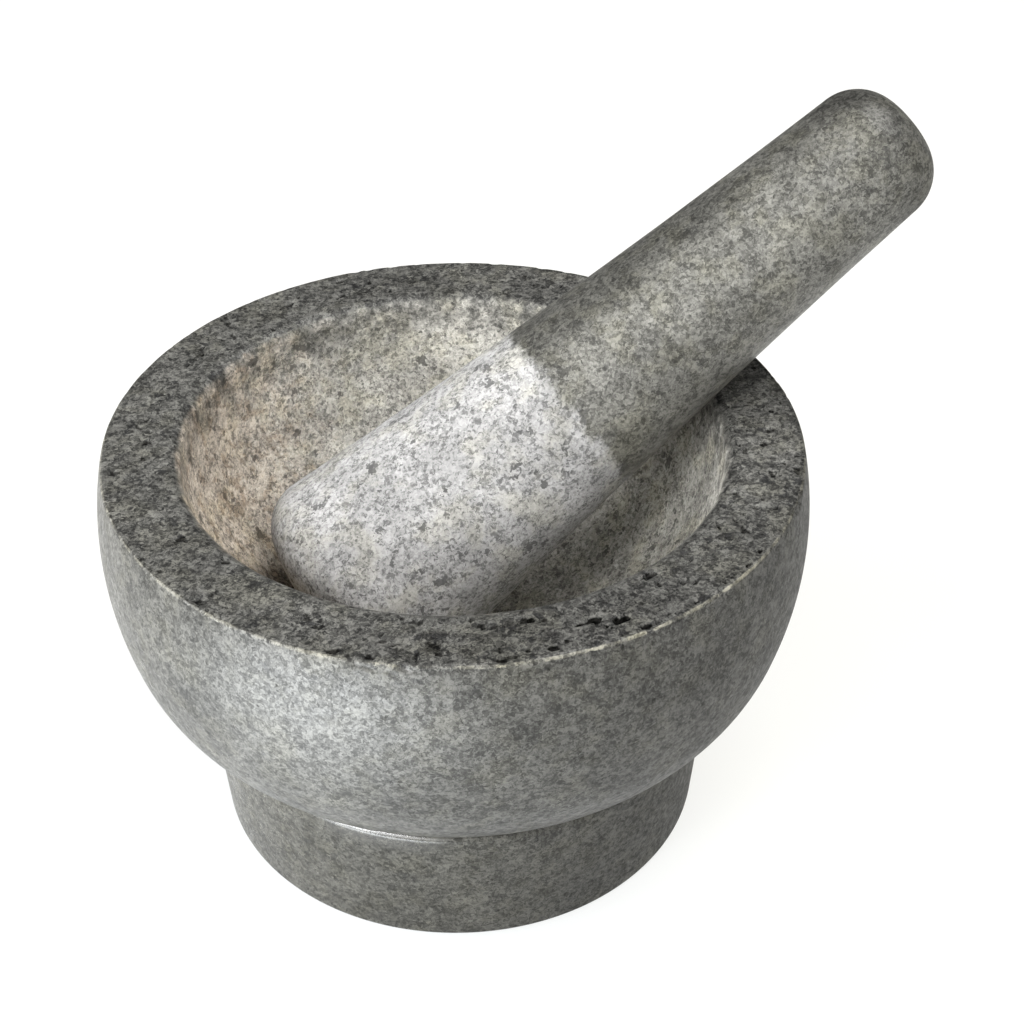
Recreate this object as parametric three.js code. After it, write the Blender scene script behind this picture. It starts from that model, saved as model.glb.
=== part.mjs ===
// Granite mortar and pestle. Millimetres, +Z up, origin at the centre of the foot's underside.
// The mortar is turned about Z. The pestle lies in the XZ plane, its handle leaning out over the
// mouth towards +X and its head on the bowl's floor, with 0.3 mm of air at both contacts.

import * as THREE from "three";

// Mortar
const MORTAR_HEIGHT = 111;
const FOOT_BASE_RADIUS = 65.2;
const FOOT_TOP_RADIUS = 68;
const FOOT_TOP_HEIGHT = 38;
const FOOT_EDGE_ROUND = 1;
const FOOT_SHOULDER_ROUND = 2;
const CREASE_RADIUS = 66.8;
const CREASE_HEIGHT = 39.6;
const FLANK_CENTRE_RADIUS = 46.2;
const FLANK_CENTRE_HEIGHT = 76.4;
const FLANK_ROUND = 41.9;
const FLANK_START_DEG = -60;
const FLANK_END_DEG = -16.5;
const BELLY_CENTRE_RADIUS = 0.9;
const BELLY_CENTRE_HEIGHT = 89.8;
const BELLY_ROUND = 89.1;
const RIM_EDGE_ROUND = 0.9;
const MOUTH_RADIUS = 71.4;
const MOUTH_ROUND = 3.5;
const BOWL_CENTRE_ABOVE_RIM = 1.3;
const MORTAR_SEGMENTS = 72;

// Pestle, measured along its axis from the middle of the handle's end
const PESTLE_LENGTH = 195;
const HANDLE_END_RADIUS = 18;
const HANDLE_CROWN_RADIUS = 38;
const HANDLE_CORNER_ROUND = 12.5;
const HEAD_RADIUS = 30;
const HEAD_CROWN_RADIUS = 67;
const HEAD_CORNER_ROUND = 13;
const TAPER_START = 13.1;
const TAPER_END = 179.2;
const TAPER_HOLLOW = 1.2;
const TAPER_STEPS = 12;
const PESTLE_SEGMENTS = 48;

// Where the pestle rests
const LEAN_DEG = 33.5;
const HANDLE_END_X = 124.2;
const HANDLE_END_Z = 173;

const rad = THREE.MathUtils.degToRad;

// Points along an arc of the profile, both ends included; angles from the radial direction.
function arc(centreR, centreZ, radius, fromDeg, toDeg, steps) {
  const points = [];
  for (let i = 0; i <= steps; i += 1) {
    const angle = rad(fromDeg + ((toDeg - fromDeg) * i) / steps);
    const r = Math.max(0, centreR + radius * Math.cos(angle));
    points.push(new THREE.Vector2(r, centreZ + radius * Math.sin(angle)));
  }
  return points;
}

function degrees(opposite, adjacent) {
  return THREE.MathUtils.radToDeg(Math.atan2(opposite, adjacent));
}

// Turned solid: the profile's second coordinate becomes Z.
function turned(profile, segments) {
  const geometry = new THREE.LatheGeometry(profile, segments);
  geometry.rotateX(Math.PI / 2);
  return geometry;
}

function mortarProfile() {
  const rimEdgeZ = MORTAR_HEIGHT - RIM_EDGE_ROUND;
  const rimEdgeRise = rimEdgeZ - BELLY_CENTRE_HEIGHT;
  const rimEdgeReach = Math.sqrt((BELLY_ROUND - RIM_EDGE_ROUND) ** 2 - rimEdgeRise ** 2);
  const bellyEndDeg = degrees(rimEdgeRise, rimEdgeReach);

  const mouthZ = MORTAR_HEIGHT - MOUTH_ROUND;
  const bowlCentreZ = MORTAR_HEIGHT + BOWL_CENTRE_ABOVE_RIM;
  const bowlRadius = Math.hypot(MOUTH_RADIUS, mouthZ - bowlCentreZ) - MOUTH_ROUND;
  const mouthDeg = degrees(mouthZ - bowlCentreZ, MOUTH_RADIUS);

  const footEdgeR = FOOT_BASE_RADIUS - FOOT_EDGE_ROUND;
  const shoulderR = FOOT_TOP_RADIUS - FOOT_SHOULDER_ROUND;
  const shoulderZ = FOOT_TOP_HEIGHT - FOOT_SHOULDER_ROUND;

  return [
    new THREE.Vector2(0, 0),
    ...arc(footEdgeR, FOOT_EDGE_ROUND, FOOT_EDGE_ROUND, -90, 0, 3),
    ...arc(shoulderR, shoulderZ, FOOT_SHOULDER_ROUND, 0, 60, 3),
    new THREE.Vector2(CREASE_RADIUS, CREASE_HEIGHT),
    ...arc(FLANK_CENTRE_RADIUS, FLANK_CENTRE_HEIGHT, FLANK_ROUND, FLANK_START_DEG, FLANK_END_DEG, 7),
    ...arc(BELLY_CENTRE_RADIUS, BELLY_CENTRE_HEIGHT, BELLY_ROUND, FLANK_END_DEG, bellyEndDeg, 6).slice(1),
    ...arc(BELLY_CENTRE_RADIUS + rimEdgeReach, rimEdgeZ, RIM_EDGE_ROUND, bellyEndDeg, 90, 3).slice(1),
    ...arc(MOUTH_RADIUS, mouthZ, MOUTH_ROUND, 90, 180 + mouthDeg, 6),
    ...arc(0, bowlCentreZ, bowlRadius, mouthDeg, -90, 22).slice(1),
  ];
}

// Half of a domed end: a wide crown arc from the axis, then the rounded corner.
// The dome's apex is at height 0 and the body lies below it.
function domedEnd(bodyRadius, crown, corner) {
  const reach = bodyRadius - corner;
  const drop = Math.sqrt((crown - corner) ** 2 - reach ** 2);
  const meetDeg = degrees(drop, reach);
  return [
    ...arc(0, -crown, crown, 90, meetDeg, 5),
    ...arc(reach, drop - crown, corner, meetDeg, 0, 6).slice(1),
  ];
}

function pestleRadius(s) {
  const u = (s - TAPER_START) / (TAPER_END - TAPER_START);
  return HANDLE_END_RADIUS + (HEAD_RADIUS - HANDLE_END_RADIUS) * u - TAPER_HOLLOW * 4 * u * (1 - u);
}

// Handle end at 0, head towards -Z.
function pestleProfile() {
  const handleEnd = domedEnd(HANDLE_END_RADIUS, HANDLE_CROWN_RADIUS, HANDLE_CORNER_ROUND);
  const headEnd = domedEnd(HEAD_RADIUS, HEAD_CROWN_RADIUS, HEAD_CORNER_ROUND);
  const profile = headEnd.map((p) => new THREE.Vector2(p.x, -PESTLE_LENGTH - p.y));
  for (let i = 1; i < TAPER_STEPS; i += 1) {
    const s = TAPER_END + ((TAPER_START - TAPER_END) * i) / TAPER_STEPS;
    profile.push(new THREE.Vector2(pestleRadius(s), -s));
  }
  profile.push(...handleEnd.reverse());
  return profile;
}

function stone(name, geometry, colour, roughness) {
  const material = new THREE.MeshStandardMaterial({ color: colour, roughness, metalness: 0 });
  const mesh = new THREE.Mesh(geometry, material);
  mesh.name = name;
  return mesh;
}

const mortar = stone("mortar", turned(mortarProfile(), MORTAR_SEGMENTS), 0x73746f, 0.45);

const pestle = stone("pestle", turned(pestleProfile(), PESTLE_SEGMENTS), 0xa3a29c, 0.6);
pestle.rotation.y = rad(90 - LEAN_DEG);
pestle.position.set(HANDLE_END_X, 0, HANDLE_END_Z);

const group = new THREE.Group();
group.name = "mortar_and_pestle";
group.add(mortar, pestle);

export default group;
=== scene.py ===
"""Granite mortar and pestle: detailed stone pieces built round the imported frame. Metres, +Z up."""

import math

import bpy
import numpy as np
from mathutils import Euler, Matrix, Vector, noise


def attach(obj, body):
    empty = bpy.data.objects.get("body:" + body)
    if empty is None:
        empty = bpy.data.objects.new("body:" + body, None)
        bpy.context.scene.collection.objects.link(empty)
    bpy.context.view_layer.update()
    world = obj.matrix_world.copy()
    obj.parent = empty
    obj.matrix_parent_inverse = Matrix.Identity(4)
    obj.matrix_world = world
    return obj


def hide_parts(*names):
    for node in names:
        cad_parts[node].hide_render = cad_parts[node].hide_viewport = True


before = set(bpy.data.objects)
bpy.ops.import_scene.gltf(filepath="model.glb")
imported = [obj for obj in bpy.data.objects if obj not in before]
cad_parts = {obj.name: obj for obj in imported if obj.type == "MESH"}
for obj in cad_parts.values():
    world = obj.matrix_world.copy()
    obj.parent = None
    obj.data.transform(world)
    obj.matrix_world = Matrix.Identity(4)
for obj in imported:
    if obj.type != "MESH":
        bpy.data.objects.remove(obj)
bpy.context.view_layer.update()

MM = 0.001

# Mortar profile, millimetres. FLANK and BELLY are arcs: centre radius, centre height, radius.
HEIGHT = 111.0
FOOT_BASE_R = 65.2
FOOT_TOP_R = 68.0
FOOT_TOP_Z = 38.0
FOOT_EDGE = 1.0
FOOT_SHOULDER = 2.0
CREASE_R = 66.8
CREASE_Z = 39.6
FLANK = (46.2, 76.4, 41.9)
BELLY = (0.9, 89.8, 89.1)
FLANK_FROM = -60.0
FLANK_TO = -16.5
RIM_EDGE = 0.5
ARRIS_R = 87.7
MOUTH_R = 71.4
MOUTH_ROUND = 3.5
BOWL_RISE = 1.3
SIDES = 640

# Pestle, millimetres along its axis from the handle's end. END_X and END_Z place that end.
LENGTH = 195.0
END_R, END_CROWN, END_CORNER = 18.0, 38.0, 12.5
HEAD_R, HEAD_CROWN, HEAD_CORNER = 30.0, 67.0, 13.0
TAPER_FROM, TAPER_TO, TAPER_HOLLOW = 13.1, 179.2, 1.2
FINISH_LINE = 111.0
LEAN = math.radians(33.5)
END_X, END_Z = 124.2, 173.0
PESTLE_SIDES = 288

# Wear: directions of the chipped stretch of the rim and of the shiny stretch of the foot's
# shoulder, and the rim's larger hollows as x, y, half length, half width
CHIPS_AT = math.radians(-80)
WORN_AT = math.radians(-128)
RIM_HOLLOWS = (
    (1.3, -78.8, 2.6, 1.2), (8.1, -80.9, 2.6, 1.3), (3.9, -82.2, 1.6, 1.2),
    (-9.1, -83.5, 3.6, 1.3), (-10.3, -73.5, 1.5, 0.9),
)
HOLLOW_DEPTH = 0.8
CHIP_DEPTH = 1.2
PIT_DEPTH = 0.42


# ---------------------------------------------------------------- profiles

def arc(cr, cz, radius, start, stop, spacing):
    """Points along a profile arc at about the given spacing, both ends included."""
    steps = max(2, round(abs(math.radians(stop - start)) * radius / spacing))
    angles = np.radians(np.linspace(start, stop, steps + 1))
    return [(max(0.0, cr + radius * math.cos(a)), cz + radius * math.sin(a)) for a in angles]


def line(a, b, spacing):
    """Points between two profile points, both left out."""
    steps = max(1, round(math.dist(a, b) / spacing))
    return [tuple(np.add(a, np.subtract(b, a) * i / steps)) for i in range(1, steps)]


def mortar_profile():
    """Radius and height from the foot's centre, up the outside, and down the bowl."""
    edge_z = HEIGHT - RIM_EDGE
    rise = edge_z - BELLY[1]
    reach = math.sqrt((BELLY[2] - RIM_EDGE) ** 2 - rise**2)
    belly_to = math.degrees(math.atan2(rise, reach))
    mouth_z = HEIGHT - MOUTH_ROUND
    bowl_z = HEIGHT + BOWL_RISE
    bowl_r = math.hypot(MOUTH_R, mouth_z - bowl_z) - MOUTH_ROUND
    mouth_deg = math.degrees(math.atan2(mouth_z - bowl_z, MOUTH_R))
    foot = arc(FOOT_BASE_R - FOOT_EDGE, FOOT_EDGE, FOOT_EDGE, -90, 0, 0.3)
    shoulder = arc(
        FOOT_TOP_R - FOOT_SHOULDER, FOOT_TOP_Z - FOOT_SHOULDER, FOOT_SHOULDER, 0, 75, 0.4
    )
    flank = arc(*FLANK, FLANK_FROM, FLANK_TO, 1.2)
    belly = arc(*BELLY, FLANK_TO, belly_to - 3, 1.4)[1:]
    under_edge = arc(*BELLY, belly_to - 3, belly_to, 0.35)[1:]
    edge = arc(BELLY[0] + reach, edge_z, RIM_EDGE, belly_to, 90, 0.2)[1:]
    mouth = arc(MOUTH_R, mouth_z, MOUTH_ROUND, 90, 180 + mouth_deg, 0.5)
    bowl = arc(0, bowl_z, bowl_r, mouth_deg, -90, 1.2)[1:]
    points = [(0.0, 0.0)]
    points += line(points[-1], foot[0], 8.0) + foot
    points += line(points[-1], shoulder[0], 1.5) + shoulder
    points += line(points[-1], (CREASE_R, CREASE_Z), 0.5) + [(CREASE_R, CREASE_Z)]
    points += flank + belly + under_edge + edge
    points += line(points[-1], mouth[0], 0.75) + mouth
    points += bowl
    return points


def domed_end(body, crown, corner):
    """Half of a domed end, apex first, at height 0 with the body below."""
    reach = body - corner
    drop = math.sqrt((crown - corner) ** 2 - reach**2)
    meet = math.degrees(math.atan2(drop, reach))
    return arc(0, -crown, crown, 90, meet, 1.0) + arc(reach, drop - crown, corner, meet, 0, 0.8)[1:]


def pestle_radius(s):
    """Radius of the slightly hollow taper at a distance from the handle's end."""
    u = (s - TAPER_FROM) / (TAPER_TO - TAPER_FROM)
    return END_R + (HEAD_R - END_R) * u - TAPER_HOLLOW * 4 * u * (1 - u)


def pestle_profile():
    """Radius and height of the upright pestle, head down, with its handle's end at 0."""
    tip = [(r, -LENGTH - z) for r, z in domed_end(HEAD_R, HEAD_CROWN, HEAD_CORNER)]
    end = domed_end(END_R, END_CROWN, END_CORNER)[::-1]
    stations = np.linspace(TAPER_TO, TAPER_FROM, 140)[1:-1]
    return tip + [(pestle_radius(s), -s) for s in stations] + end


# ---------------------------------------------------------------- meshes

def turned(profile, sides):
    """The points and faces of a turned solid with one vertex at each pole."""
    rings = np.array(profile[1:-1])
    angles = np.linspace(0, 2 * math.pi, sides, endpoint=False)
    verts = np.empty((len(rings), sides, 3))
    verts[:, :, 0] = rings[:, 0, None] * np.cos(angles)
    verts[:, :, 1] = rings[:, 0, None] * np.sin(angles)
    verts[:, :, 2] = rings[:, 1, None]
    first = (0.0, 0.0, profile[0][1])
    last = (0.0, 0.0, profile[-1][1])
    points = np.vstack([verts.reshape(-1, 3), [first, last]])
    low, high = len(rings) * sides, len(rings) * sides + 1
    top = (len(rings) - 1) * sides
    faces = []
    for i in range(sides):
        j = (i + 1) % sides
        faces.append((low, j, i))
        faces.append((high, top + i, top + j))
        for a in range(0, top, sides):
            faces.append((a + i, a + j, a + sides + j, a + sides + i))
    return points, faces


def to_object(name, points, faces):
    """A smooth-shaded piece from points in millimetres."""
    mesh = bpy.data.meshes.new(name)
    mesh.from_pydata((points * MM).tolist(), [], faces)
    mesh.validate()
    mesh.shade_smooth()
    mesh.update()
    piece = bpy.data.objects.new(name, mesh)
    bpy.context.scene.collection.objects.link(piece)
    return piece


def smooth(low, high, value):
    """Smoothly 0..1 as value goes low..high, or 0..1 downwards where low is above high."""
    t = np.clip((value - low) / (high - low), 0, 1)
    return t * t * (3 - 2 * t)


def field(points, size, seed, octaves=1):
    """Smooth noise of about -1..1 at points, with features of the given size in millimetres."""
    shift = Vector((seed * 17.3, seed * 5.1, seed * 9.7))
    total = np.zeros(len(points))
    for octave in range(octaves):
        gain = 0.5**octave
        step = size * gain
        total += gain * np.array([noise.noise(Vector(p) / step + shift) for p in points])
    return total


def hollows(p):
    """Depth of the few larger ragged hollows broken out of the rim near the front."""
    depth = np.zeros(len(p))
    ragged = 0.9 * field(p, 2.6, 10, 2)
    for x, y, along, across in RIM_HOLLOWS:
        turn = math.atan2(y, x)
        out = (p[:, 0] - x) * math.cos(turn) + (p[:, 1] - y) * math.sin(turn)
        side = (p[:, 1] - y) * math.cos(turn) - (p[:, 0] - x) * math.sin(turn)
        reach = np.hypot(side / along, out / across) + ragged
        depth = np.maximum(depth, HOLLOW_DEPTH * smooth(1.0, 0.55, reach))
    return depth


def build_mortar():
    points, faces = turned(mortar_profile(), SIDES)
    radius = np.hypot(points[:, 0], points[:, 1])
    z = points[:, 2].copy()
    outward = np.zeros_like(points)
    solid = radius > 1e-6
    outward[solid, 0] = points[solid, 0] / radius[solid]
    outward[solid, 1] = points[solid, 1] / radius[solid]

    # Outer arris: a narrow worn bevel with small chips broken out of it.
    near = (radius > 83) & (z > HEIGHT - 5)
    p = points[near]
    from_arris = np.hypot(radius[near] - ARRIS_R, z[near] - HEIGHT)
    wear = 0.06 + 0.10 * field(p, 9, 1, 2)
    chips = smooth(0.22, 0.6, field(p, 4.2, 2, 2)) * CHIP_DEPTH
    front = p @ np.array([math.cos(CHIPS_AT), math.sin(CHIPS_AT), 0]) / radius[near]
    chips *= 0.2 + 0.8 * smooth(0.6, 0.9, front)
    pull = np.clip(wear + chips, 0, None) * np.clip(1 - from_arris / (1.4 + 1.6 * chips), 0, 1)
    points[near, 2] -= pull * 0.8
    points[near] -= outward[near] * (pull * 0.75)[:, None]

    # Rim top: shallow pits where flecks have pulled out, and the larger hollows.
    top = (radius > 70.5) & (radius < 87.2) & (z > HEIGHT - 0.6)
    p = points[top]
    pits = smooth(0.40, 0.60, field(p, 3.4, 4, 2)) * PIT_DEPTH
    points[top, 2] -= np.maximum(pits, hollows(p))

    # Bowl and mouth: ground by hand, a little uneven, only ever cut into the stone. The profile
    # runs up the outside first, so the bowl's points are among the later ones.
    inside = (radius < 72.5) & (z > 30) & (z < HEIGHT - 0.02)
    inside &= np.arange(len(points)) > len(points) * 0.4
    p = points[inside]
    centre = np.array([0, 0, HEIGHT + BOWL_RISE])
    away = p - centre
    away /= np.linalg.norm(away, axis=1)[:, None]
    uneven = 0.12 + 0.12 * field(p, 11, 5, 2) + 0.05 * field(p, 3, 6)
    points[inside] += away * np.clip(uneven, 0, None)[:, None]
    return to_object("mortar_stone", points, faces)


def build_pestle():
    """Built upright, then tilted to lean out of the bowl."""
    points, faces = turned(pestle_profile(), PESTLE_SIDES)
    along = -points[:, 2]
    head = smooth(FINISH_LINE - 2, FINISH_LINE + 2, along)
    bumps = 0.13 + 0.12 * field(points, 9, 7, 2) + 0.06 * field(points, 2.6, 8)
    slight = 0.04 + 0.04 * field(points, 16, 9)

    # Uneven all over, more so on the ground head, and only ever cut into the stone.
    cut = np.clip(head * bumps + (1 - head) * slight, 0, None)
    axis_point = np.zeros_like(points)
    axis_point[:, 2] = np.clip(points[:, 2], -(LENGTH - HEAD_R), -END_R)
    inward = axis_point - points
    inward /= np.maximum(np.linalg.norm(inward, axis=1), 1e-6)[:, None]
    points += inward * cut[:, None]
    tilt = Euler((0, math.pi / 2 - LEAN, 0)).to_matrix()
    points = points @ np.array(tilt).T + np.array([END_X, 0, END_Z])
    return to_object("pestle_stone", points, faces)


# ---------------------------------------------------------------- materials

# Dark, middle and light crystals of each finish, linear
WALL_TONES = (0.018, 0.040, 0.074)
RIM_TONES = (0.0065, 0.037, 0.098)
ARRIS_TONES = (0.10, 0.19, 0.28)
BOWL_TONES = (0.100, 0.280, 0.430)
HANDLE_TONES = (0.034, 0.082, 0.141)
HEAD_TONES = (0.080, 0.225, 0.300)

# Red, green and blue shares of each finish; those laid over another colour have an alpha too
POLISHED_TINT = (1.01, 0.99, 0.88)
RIM_TINT = (1.02, 1.0, 0.90)
ARRIS_TINT = (1.05, 1.0, 0.80)
BOWL_TINT = (1.02, 0.99, 0.89)
HEAD_TINT = (1.01, 1.0, 0.98)
STAIN_TINT = (1.13, 1.01, 0.92, 1)
BROWN_TINT = (0.66, 0.60, 0.54, 1)
FOOT_TINT = (0.84, 0.83, 0.78, 1)
OLIVE_TINT = (1.01, 1.0, 0.93, 1)

# Sizes of what makes up the stone, millimetres
DUST_SIZE = 0.35
CRYSTAL_SIZES = (0.95, 0.45)
PORE_SIZE = 0.8
SHEEN_SIZE = 1.6
FLECK_SIZE = 1.8
MOTTLE_SIZE = 3.6
SPOT_SIZE = 3.8
WOBBLE_SIZE = 4.0
SOAK_SIZE = 5.0
OLIVE_SIZE = 9.0
CROWD_SIZE = 10.0
BLOTCH_SIZE = 17.0
PORE_DEPTH = 0.3 * MM

# How rough each finish is, and how strongly its pores show
SHEEN_ROUGH = (0.30, 0.46)
GROUND_ROUGH, RIM_ROUGH, WORN_ROUGH = 0.88, 0.62, 0.26
WALL_PORES, GROUND_PORES, RIM_PORES = 0.14, 0.55, 0.3


class Nodes:
    """Shorthand for wiring a node tree. Sizes are in millimetres."""

    def __init__(self, material):
        self.tree = material.node_tree
        self.tree.nodes.clear()

    def add(self, kind, out=0, props=(), **inputs):
        """A new node's output. Inputs go by name, or by number as i0, i1 and so on."""
        node = self.tree.nodes.new(kind)
        for key, value in dict(props).items():
            setattr(node, key, value)
        for key, value in inputs.items():
            index = int(key[1:]) if key[0] == "i" and key[1:].isdigit() else key.replace("_", " ")
            self.put(node.inputs[index], value)
        return node.outputs[out]

    def put(self, socket, value):
        if isinstance(value, bpy.types.NodeSocket):
            self.tree.links.new(value, socket)
        else:
            socket.default_value = value

    def math(self, operation, a, b=0.0):
        return self.add("ShaderNodeMath", props={"operation": operation}, i0=a, i1=b)

    def plus(self, a, b):
        return self.math("ADD", a, b)

    def minus(self, a, b):
        return self.math("SUBTRACT", a, b)

    def times(self, a, b):
        return self.math("MULTIPLY", a, b)

    def shaken(self, value, wobble, amount):
        """A value moved either way by a wobble of 0..1, to make its edges ragged."""
        return self.plus(value, self.times(self.minus(wobble, 0.5), amount))

    def step(self, value, low, high, start=0.0, stop=1.0):
        """Smoothly start..stop as value goes low..high."""
        return self.add(
            "ShaderNodeMapRange", props={"interpolation_type": "SMOOTHSTEP"},
            i0=value, i1=low, i2=high, i3=start, i4=stop,
        )

    def mix(self, factor, a, b, blend="MIX"):
        """One colour to another."""
        node = self.tree.nodes.new("ShaderNodeMix")
        node.data_type = "RGBA"
        node.blend_type = blend
        self.put(node.inputs[0], factor)
        self.put(node.inputs[6], a)
        self.put(node.inputs[7], b)
        return node.outputs[2]

    def tinted(self, colour, tint):
        return self.mix(1.0, colour, tint, "MULTIPLY")

    def blend(self, factor, a, b):
        """One number to another."""
        node = self.tree.nodes.new("ShaderNodeMix")
        node.data_type = "FLOAT"
        self.put(node.inputs[0], factor)
        self.put(node.inputs[2], a)
        self.put(node.inputs[3], b)
        return node.outputs[0]

    def noise(self, where, size, detail=2.0, rough=0.5):
        """Noise of 0..1 with features of about this size."""
        return self.add(
            "ShaderNodeTexNoise", Vector=where, Scale=1.0 / size, Detail=detail, Roughness=rough
        )

    def cells(self, where, size):
        """A random grey for each crystal of about this size."""
        colour = self.add(
            "ShaderNodeTexVoronoi", out=1, Vector=where, Scale=1.0 / size, Randomness=1.0
        )
        return self.add("ShaderNodeSeparateColor", i0=colour)


def crystals(n, where):
    """The stone's pattern: grain, dark flecks, larger dark spots, blotches, olive patches."""
    stir = n.add("ShaderNodeTexNoise", out=1, Vector=where, Scale=0.9, Detail=3.0)
    off = n.add(
        "ShaderNodeVectorMath", props={"operation": "SUBTRACT"}, i0=stir, i1=(0.5, 0.5, 0.5)
    )
    off = n.add("ShaderNodeVectorMath", props={"operation": "SCALE"}, i0=off, Scale=1.6)
    bent = n.add("ShaderNodeVectorMath", props={"operation": "ADD"}, i0=where, i1=off)
    dust = n.noise(where, DUST_SIZE, 2.0, 0.7)
    grain = n.blend(0.5, *(n.cells(bent, size) for size in CRYSTAL_SIZES))
    grain = n.blend(0.3, grain, dust)
    grain = n.shaken(grain, n.noise(bent, MOTTLE_SIZE, 3.0, 0.6), 0.8)
    crowd = n.step(n.noise(where, CROWD_SIZE, 2.0), 0.3, 0.7, -0.05, 0.05)
    flecks = n.step(n.plus(n.noise(bent, FLECK_SIZE, 2.0, 0.55), crowd), 0.600, 0.690)
    spots = n.step(n.plus(n.noise(bent, SPOT_SIZE, 3.0, 0.62), crowd), 0.632, 0.662)
    blotch_and_shade = n.step(n.noise(where, BLOTCH_SIZE, 3.0, 0.55), 0.35, 0.68, 1.14, 0.84)
    olive = n.step(n.noise(where, OLIVE_SIZE, 3.0, 0.6), 0.45, 0.65)
    return grain, flecks, spots, blotch_and_shade, olive


def stone(name, zones, polished_tones, ground_tones, ground_tint):
    """A granite material. zones() returns masks of 0..1 for the ground, rim, arris, foot and stained
    stone, a painted shade to multiply by, and a mask for the shiny worn shoulder. All but the first
    and the shade may be None."""
    material = bpy.data.materials.new(name)
    material.use_nodes = True
    n = Nodes(material)
    place = n.add("ShaderNodeTexCoord", out=3)
    where = n.add("ShaderNodeVectorMath", props={"operation": "SCALE"}, i0=place, Scale=1 / MM)
    xyz = n.tree.nodes.new("ShaderNodeSeparateXYZ")
    n.tree.links.new(where, xyz.inputs[0])
    x, y, z = xyz.outputs
    wobble = n.noise(where, WOBBLE_SIZE, 4.0, 0.6)
    ground, rim, arris, foot, stain, shade, worn = zones(n, x, y, z, wobble)
    grain, flecks, spots, blotch_and_shade, olive = crystals(n, where)

    def palette(tones, fleck, spot, tint):
        """Colours the grain with dark, middle and light tones, then lays the flecks and spots."""
        dark, middle, light = (tuple(tone * part for part in tint) + (1.0,) for tone in tones)
        ramp = n.tree.nodes.new("ShaderNodeValToRGB")
        n.tree.links.new(grain, ramp.inputs[0])
        stops = ramp.color_ramp.elements
        stops[0].position, stops[0].color = 0.22, dark
        stops[1].position, stops[1].color = 0.8, light
        stops.new(0.5).color = middle
        darkest = tuple(0.6 * part for part in dark[:3]) + (1.0,)
        laid = n.mix(n.times(flecks, fleck), ramp.outputs[0], dark)
        return n.mix(n.times(spots, spot), laid, darkest)

    polished = palette(polished_tones, 0.5, 0.65, POLISHED_TINT)
    dressed = palette(ground_tones, 0.8, 0.85, ground_tint)
    if stain is not None:
        dressed = n.mix(stain, dressed, n.tinted(dressed, STAIN_TINT))
        browned = n.tinted(dressed, BROWN_TINT)
        soak = n.step(n.noise(where, SOAK_SIZE, 4.0, 0.68), 0.50, 0.60)
        soak = n.times(soak, n.step(stain, 0.0, 1.0, 0.15, 0.9))
        dressed = n.mix(soak, dressed, browned)
    colour = n.mix(ground, polished, dressed)
    if rim is not None:
        colour = n.mix(foot, colour, n.tinted(colour, FOOT_TINT))
        colour = n.mix(rim, colour, palette(RIM_TONES, 0.9, 0.95, RIM_TINT))
        colour = n.mix(arris, colour, palette(ARRIS_TONES, 0.4, 0.2, ARRIS_TINT))

    # Large blotches lighten or darken the stone, the zones' painted shade darkens it further, and
    # patches of it lean to olive.
    blotch_and_shade = n.times(blotch_and_shade, shade)
    colour = n.add("ShaderNodeVectorMath", props={"operation": "SCALE"}, i0=colour, Scale=blotch_and_shade)
    colour = n.mix(olive, colour, n.tinted(colour, OLIVE_TINT))

    # Shaded stone, such as the floor of a hollow, is duller too.
    relief = n.noise(where, PORE_SIZE, 3.0, 0.6)
    pores = n.minus(relief, n.times(flecks, 0.5))
    strength = n.blend(ground, WALL_PORES, GROUND_PORES)
    sheen = n.step(n.noise(where, SHEEN_SIZE, 3.0), 0.3, 0.7, *SHEEN_ROUGH)
    roughness = n.blend(ground, sheen, GROUND_ROUGH)
    gloss = n.minus(n.step(grain, 0.25, 0.75, 0.25, 0.58), n.times(flecks, 0.15))
    if rim is not None:
        strength = n.blend(rim, strength, RIM_PORES)
        roughness = n.blend(rim, roughness, RIM_ROUGH)
    gloss = n.times(gloss, shade)
    roughness = n.plus(roughness, n.minus(0.5, n.times(shade, 0.5)))
    if worn is not None:
        gloss = n.blend(worn, gloss, 1.0)
        roughness = n.blend(worn, roughness, WORN_ROUGH)
    normal = n.add("ShaderNodeBump", Strength=strength, Distance=PORE_DEPTH, Height=pores)
    shader = n.add(
        "ShaderNodeBsdfPrincipled", Base_Color=colour, Roughness=roughness, Normal=normal,
        IOR=1.5, Specular_IOR_Level=n.blend(ground, gloss, 0.5),
    )
    n.put(n.tree.nodes.new("ShaderNodeOutputMaterial").inputs["Surface"], shader)
    return material


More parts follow.
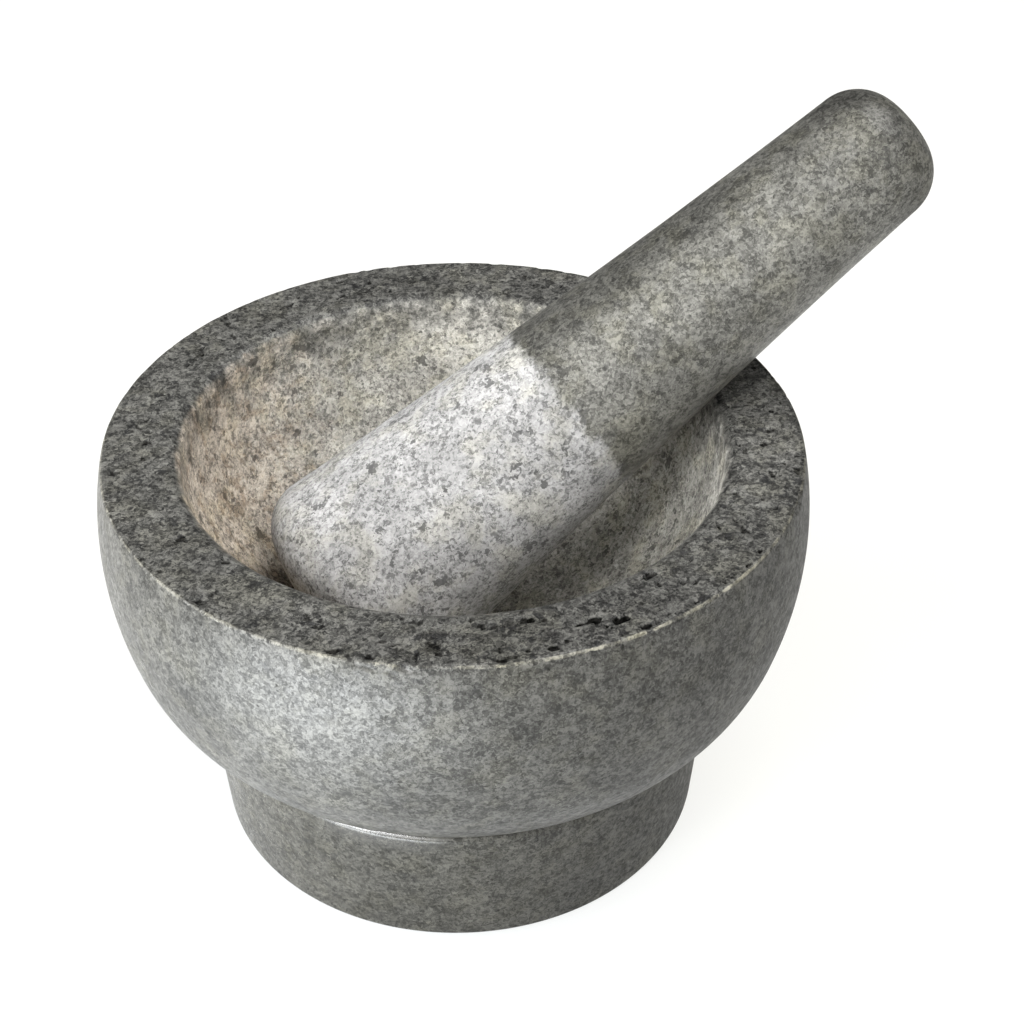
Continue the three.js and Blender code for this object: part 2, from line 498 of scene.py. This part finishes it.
def mortar_zones(n, x, y, z, wobble):
    radius = n.math("SQRT", n.plus(n.times(x, x), n.times(y, y)))

    def facing(angle):
        """Cosine of the turn between a point and a direction round the mortar."""
        ahead = n.plus(n.times(x, math.cos(angle)), n.times(y, math.sin(angle)))
        return n.math("DIVIDE", ahead, radius)

    # Ground stone fills the bowl, up to a ragged line just inside the mouth.
    within = n.step(n.shaken(radius, wobble, 7.0), 66.0, MOUTH_R - 1.2, 1.0, 0.0)
    ground = n.times(within, n.step(z, 42.0, 42.5))
    rim = n.times(n.step(z, HEIGHT - 1.3, HEIGHT - 0.5), n.minus(1.0, within))
    foot = n.step(z, FOOT_TOP_Z + 0.5, FOOT_TOP_Z + 1.8, 1.0, 0.0)

    # The outer arris is worn pale in a broken line, most of all at the front.
    arris = n.times(n.step(radius, 86.95, 87.2), n.step(z, HEIGHT - 0.9, HEIGHT - 0.5))
    broken = n.step(wobble, 0.42, 0.62, 0.12, 0.9)
    broken = n.times(broken, n.step(facing(CHIPS_AT), 0.80, 0.97, 0.35, 1.0))
    arris = n.times(arris, broken)

    # The bowl is stained brown on its left.
    stain = n.step(n.shaken(x, wobble, 60.0), -55.0, -5.0, 1.0, 0.0)

    # Painted shade: wall and foot darken to the right, the bowl with depth, and the rim in its
    # hollows and along its front.
    wall = n.step(x, -60.0, 80.0, 1.06, 0.68)
    wall = n.times(wall, n.blend(foot, 1.0, n.step(x, -60.0, 60.0, 1.08, 0.86)))
    shade = n.blend(ground, wall, n.step(z, 44.0, 80.0, 0.72, 1.0))
    # Painted shade on the rim: darker where its top is sunk into pits and hollows, and towards its
    # front.
    top = n.step(z, HEIGHT - 0.5, HEIGHT - 0.2, 0.12, 1.0)
    top = n.times(top, n.step(y, -80.0, -50.0, 0.72, 1.0))
    on_top = n.times(n.step(radius, 70.5, 71.5), n.step(radius, 86.0, 86.6, 1.0, 0.0))
    on_top = n.times(on_top, n.step(z, HEIGHT - 2.0, HEIGHT - 1.6))
    shade = n.blend(on_top, shade, top)

    # A short stretch of the foot's shoulder is worn shiny.
    worn = n.times(n.step(z, 31.0, 36.0), n.step(z, 39.0, 39.8, 1.0, 0.0))
    worn = n.times(worn, n.step(facing(WORN_AT), 0.960, 0.993))
    return ground, rim, arris, foot, stain, shade, worn


def pestle_zones(n, x, y, z, wobble):
    back, down = n.minus(END_X, x), n.minus(END_Z, z)
    along = n.plus(n.times(back, math.cos(LEAN)), n.times(down, math.sin(LEAN)))
    lift = n.minus(n.times(back, math.sin(LEAN)), n.times(down, math.cos(LEAN)))
    along = n.shaken(along, wobble, 9.0)
    ground = n.step(along, FINISH_LINE - 1.5, FINISH_LINE + 1.5)

    # Painted shade: the handle is darker along its upper far side and round its end.
    edge = n.shaken(n.plus(n.times(y, 0.66), n.times(lift, 0.75)), wobble, 8.0)
    handle = n.times(n.step(edge, 7.5, 16.0, 1.0, 0.50), n.step(along, 8.0, 30.0, 0.60, 1.0))

    # Painted light and shade: the head is lighter at its working end and darker along its upper
    # side.
    head = n.times(n.step(lift, -5.0, 28.0, 1.03, 0.87), n.step(along, 155.0, 188.0, 1.0, 1.20))
    return ground, None, None, None, None, n.blend(ground, handle, head), None


# ---------------------------------------------------------------- pieces

mortar = build_mortar()
mortar.data.materials.append(stone(
    "granite_mortar", mortar_zones, WALL_TONES, BOWL_TONES, BOWL_TINT
))
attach(mortar, "mortar")
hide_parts("mortar")

pestle = build_pestle()
pestle.data.materials.append(stone(
    "granite_pestle", pestle_zones, HANDLE_TONES, HEAD_TONES, HEAD_TINT
))
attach(pestle, "pestle")
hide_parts("pestle")


# ---------------------------------------------------------------- stage

# Floor glow: an even part and a brighter, cooler pool on the side the light comes from
FLOOR_GLOW = 0.76
POOL_GLOW = 12.5
POOL_RADIUS = 0.25
POOL_CENTRE = (-0.25, -0.18, 0.0)
HORIZON_GLOW = 0.75
ROOM_GLOW = 0.03


def build_floor():
    """A flat white floor, lit from within, with a brighter pool at the object's left front."""
    half = 6.0
    corners = [(-half, -half, 0), (half, -half, 0), (half, half, 0), (-half, half, 0)]
    mesh = bpy.data.meshes.new("floor")
    mesh.from_pydata(corners, [], [(0, 1, 2, 3)])
    floor = bpy.data.objects.new("floor", mesh)
    floor.location.z = -0.0002
    material = bpy.data.materials.new("floor_white")
    material.use_nodes = True
    nodes, links = material.node_tree.nodes, material.node_tree.links
    shader = nodes["Principled BSDF"]
    shader.inputs["Base Color"].default_value = (0.15, 0.15, 0.15, 1)
    shader.inputs["Roughness"].default_value = 0.9
    place = nodes.new("ShaderNodeTexCoord")
    away = nodes.new("ShaderNodeVectorMath")
    away.operation = "DISTANCE"
    away.inputs[1].default_value = POOL_CENTRE
    links.new(place.outputs["Object"], away.inputs[0])
    fall = nodes.new("ShaderNodeMapRange")
    fall.interpolation_type = "SMOOTHERSTEP"
    for index, value in enumerate((0.0, POOL_RADIUS, POOL_GLOW, FLOOR_GLOW), start=1):
        fall.inputs[index].default_value = value
    links.new(away.outputs["Value"], fall.inputs[0])
    links.new(fall.outputs[0], shader.inputs["Emission Strength"])
    hue = nodes.new("ShaderNodeValToRGB")
    cool, warm = hue.color_ramp.elements
    cool.position, cool.color = 0.2, (0.93, 0.97, 1.0, 1)
    warm.position, warm.color = 0.35, (1.0, 0.995, 0.95, 1)
    links.new(away.outputs["Value"], hue.inputs[0])
    links.new(hue.outputs[0], shader.inputs["Emission Color"])
    floor.data.materials.append(material)
    bpy.context.scene.collection.objects.link(floor)


def softbox(name, azimuth, elevation, distance, size, power, colour=(1, 1, 1)):
    """An area light aimed at the bowl. Azimuth 0 is over +X. Size in metres, power in watts."""
    light = bpy.data.lights.new(name, "AREA")
    light.shape = "RECTANGLE"
    light.size, light.size_y = size
    light.energy = power
    light.color = colour
    lamp = bpy.data.objects.new(name, light)
    a, e = math.radians(azimuth), math.radians(elevation)
    target = Vector((0, 0, 0.07))
    lamp.location = target + distance * Vector(
        (math.cos(a) * math.cos(e), math.sin(a) * math.cos(e), math.sin(e))
    )
    lamp.rotation_euler = (target - lamp.location).to_track_quat("-Z", "Y").to_euler()
    bpy.context.scene.collection.objects.link(lamp)


def build_world():
    """A dim studio, pale at the horizon so that the floor fades out into it."""
    world = bpy.data.worlds.new("studio")
    world.use_nodes = True
    nodes, links = world.node_tree.nodes, world.node_tree.links
    place = nodes.new("ShaderNodeTexCoord")
    split = nodes.new("ShaderNodeSeparateXYZ")
    links.new(place.outputs["Generated"], split.inputs[0])
    fade = nodes.new("ShaderNodeMapRange")
    fade.interpolation_type = "SMOOTHSTEP"
    for index, value in enumerate((0.05, 0.3, HORIZON_GLOW, ROOM_GLOW), start=1):
        fade.inputs[index].default_value = value
    links.new(split.outputs[2], fade.inputs[0])
    nodes["Background"].inputs[0].default_value = (1, 1, 1, 1)
    links.new(fade.outputs[0], nodes["Background"].inputs[1])
    bpy.context.scene.world = world


build_floor()
softbox("low_left", -165, 14, 1.1, (0.7, 0.4), 15, (0.96, 0.98, 1.0))
softbox("left_front", -135, 25, 1.2, (0.7, 0.5), 6)
softbox("spark", -146, 40, 1.2, (0.16, 0.16), 5)
softbox("left_back", 167, 30, 1.2, (0.7, 0.7), 18)
softbox("front_right", -50, 15, 1.2, (0.6, 0.6), 3.5)
softbox("front", -90, 40, 1.2, (0.7, 0.7), 4)
softbox("high_right", -20, 70, 1.3, (0.9, 0.9), 26)
build_world()
bpy.context.scene.view_settings.view_transform = "Standard"

camera_data = bpy.data.cameras.new("camera")
camera_data.lens = 68.56
camera_data.sensor_width = 36.0
camera_data.clip_end = 50.0
camera = bpy.data.objects.new("camera", camera_data)
camera.location = (-0.14312, -0.37629, 0.38802)
camera.rotation_euler = (math.radians(90 - 36.79), 0, math.radians(-22.9))
bpy.context.scene.collection.objects.link(camera)
bpy.context.scene.camera = camera
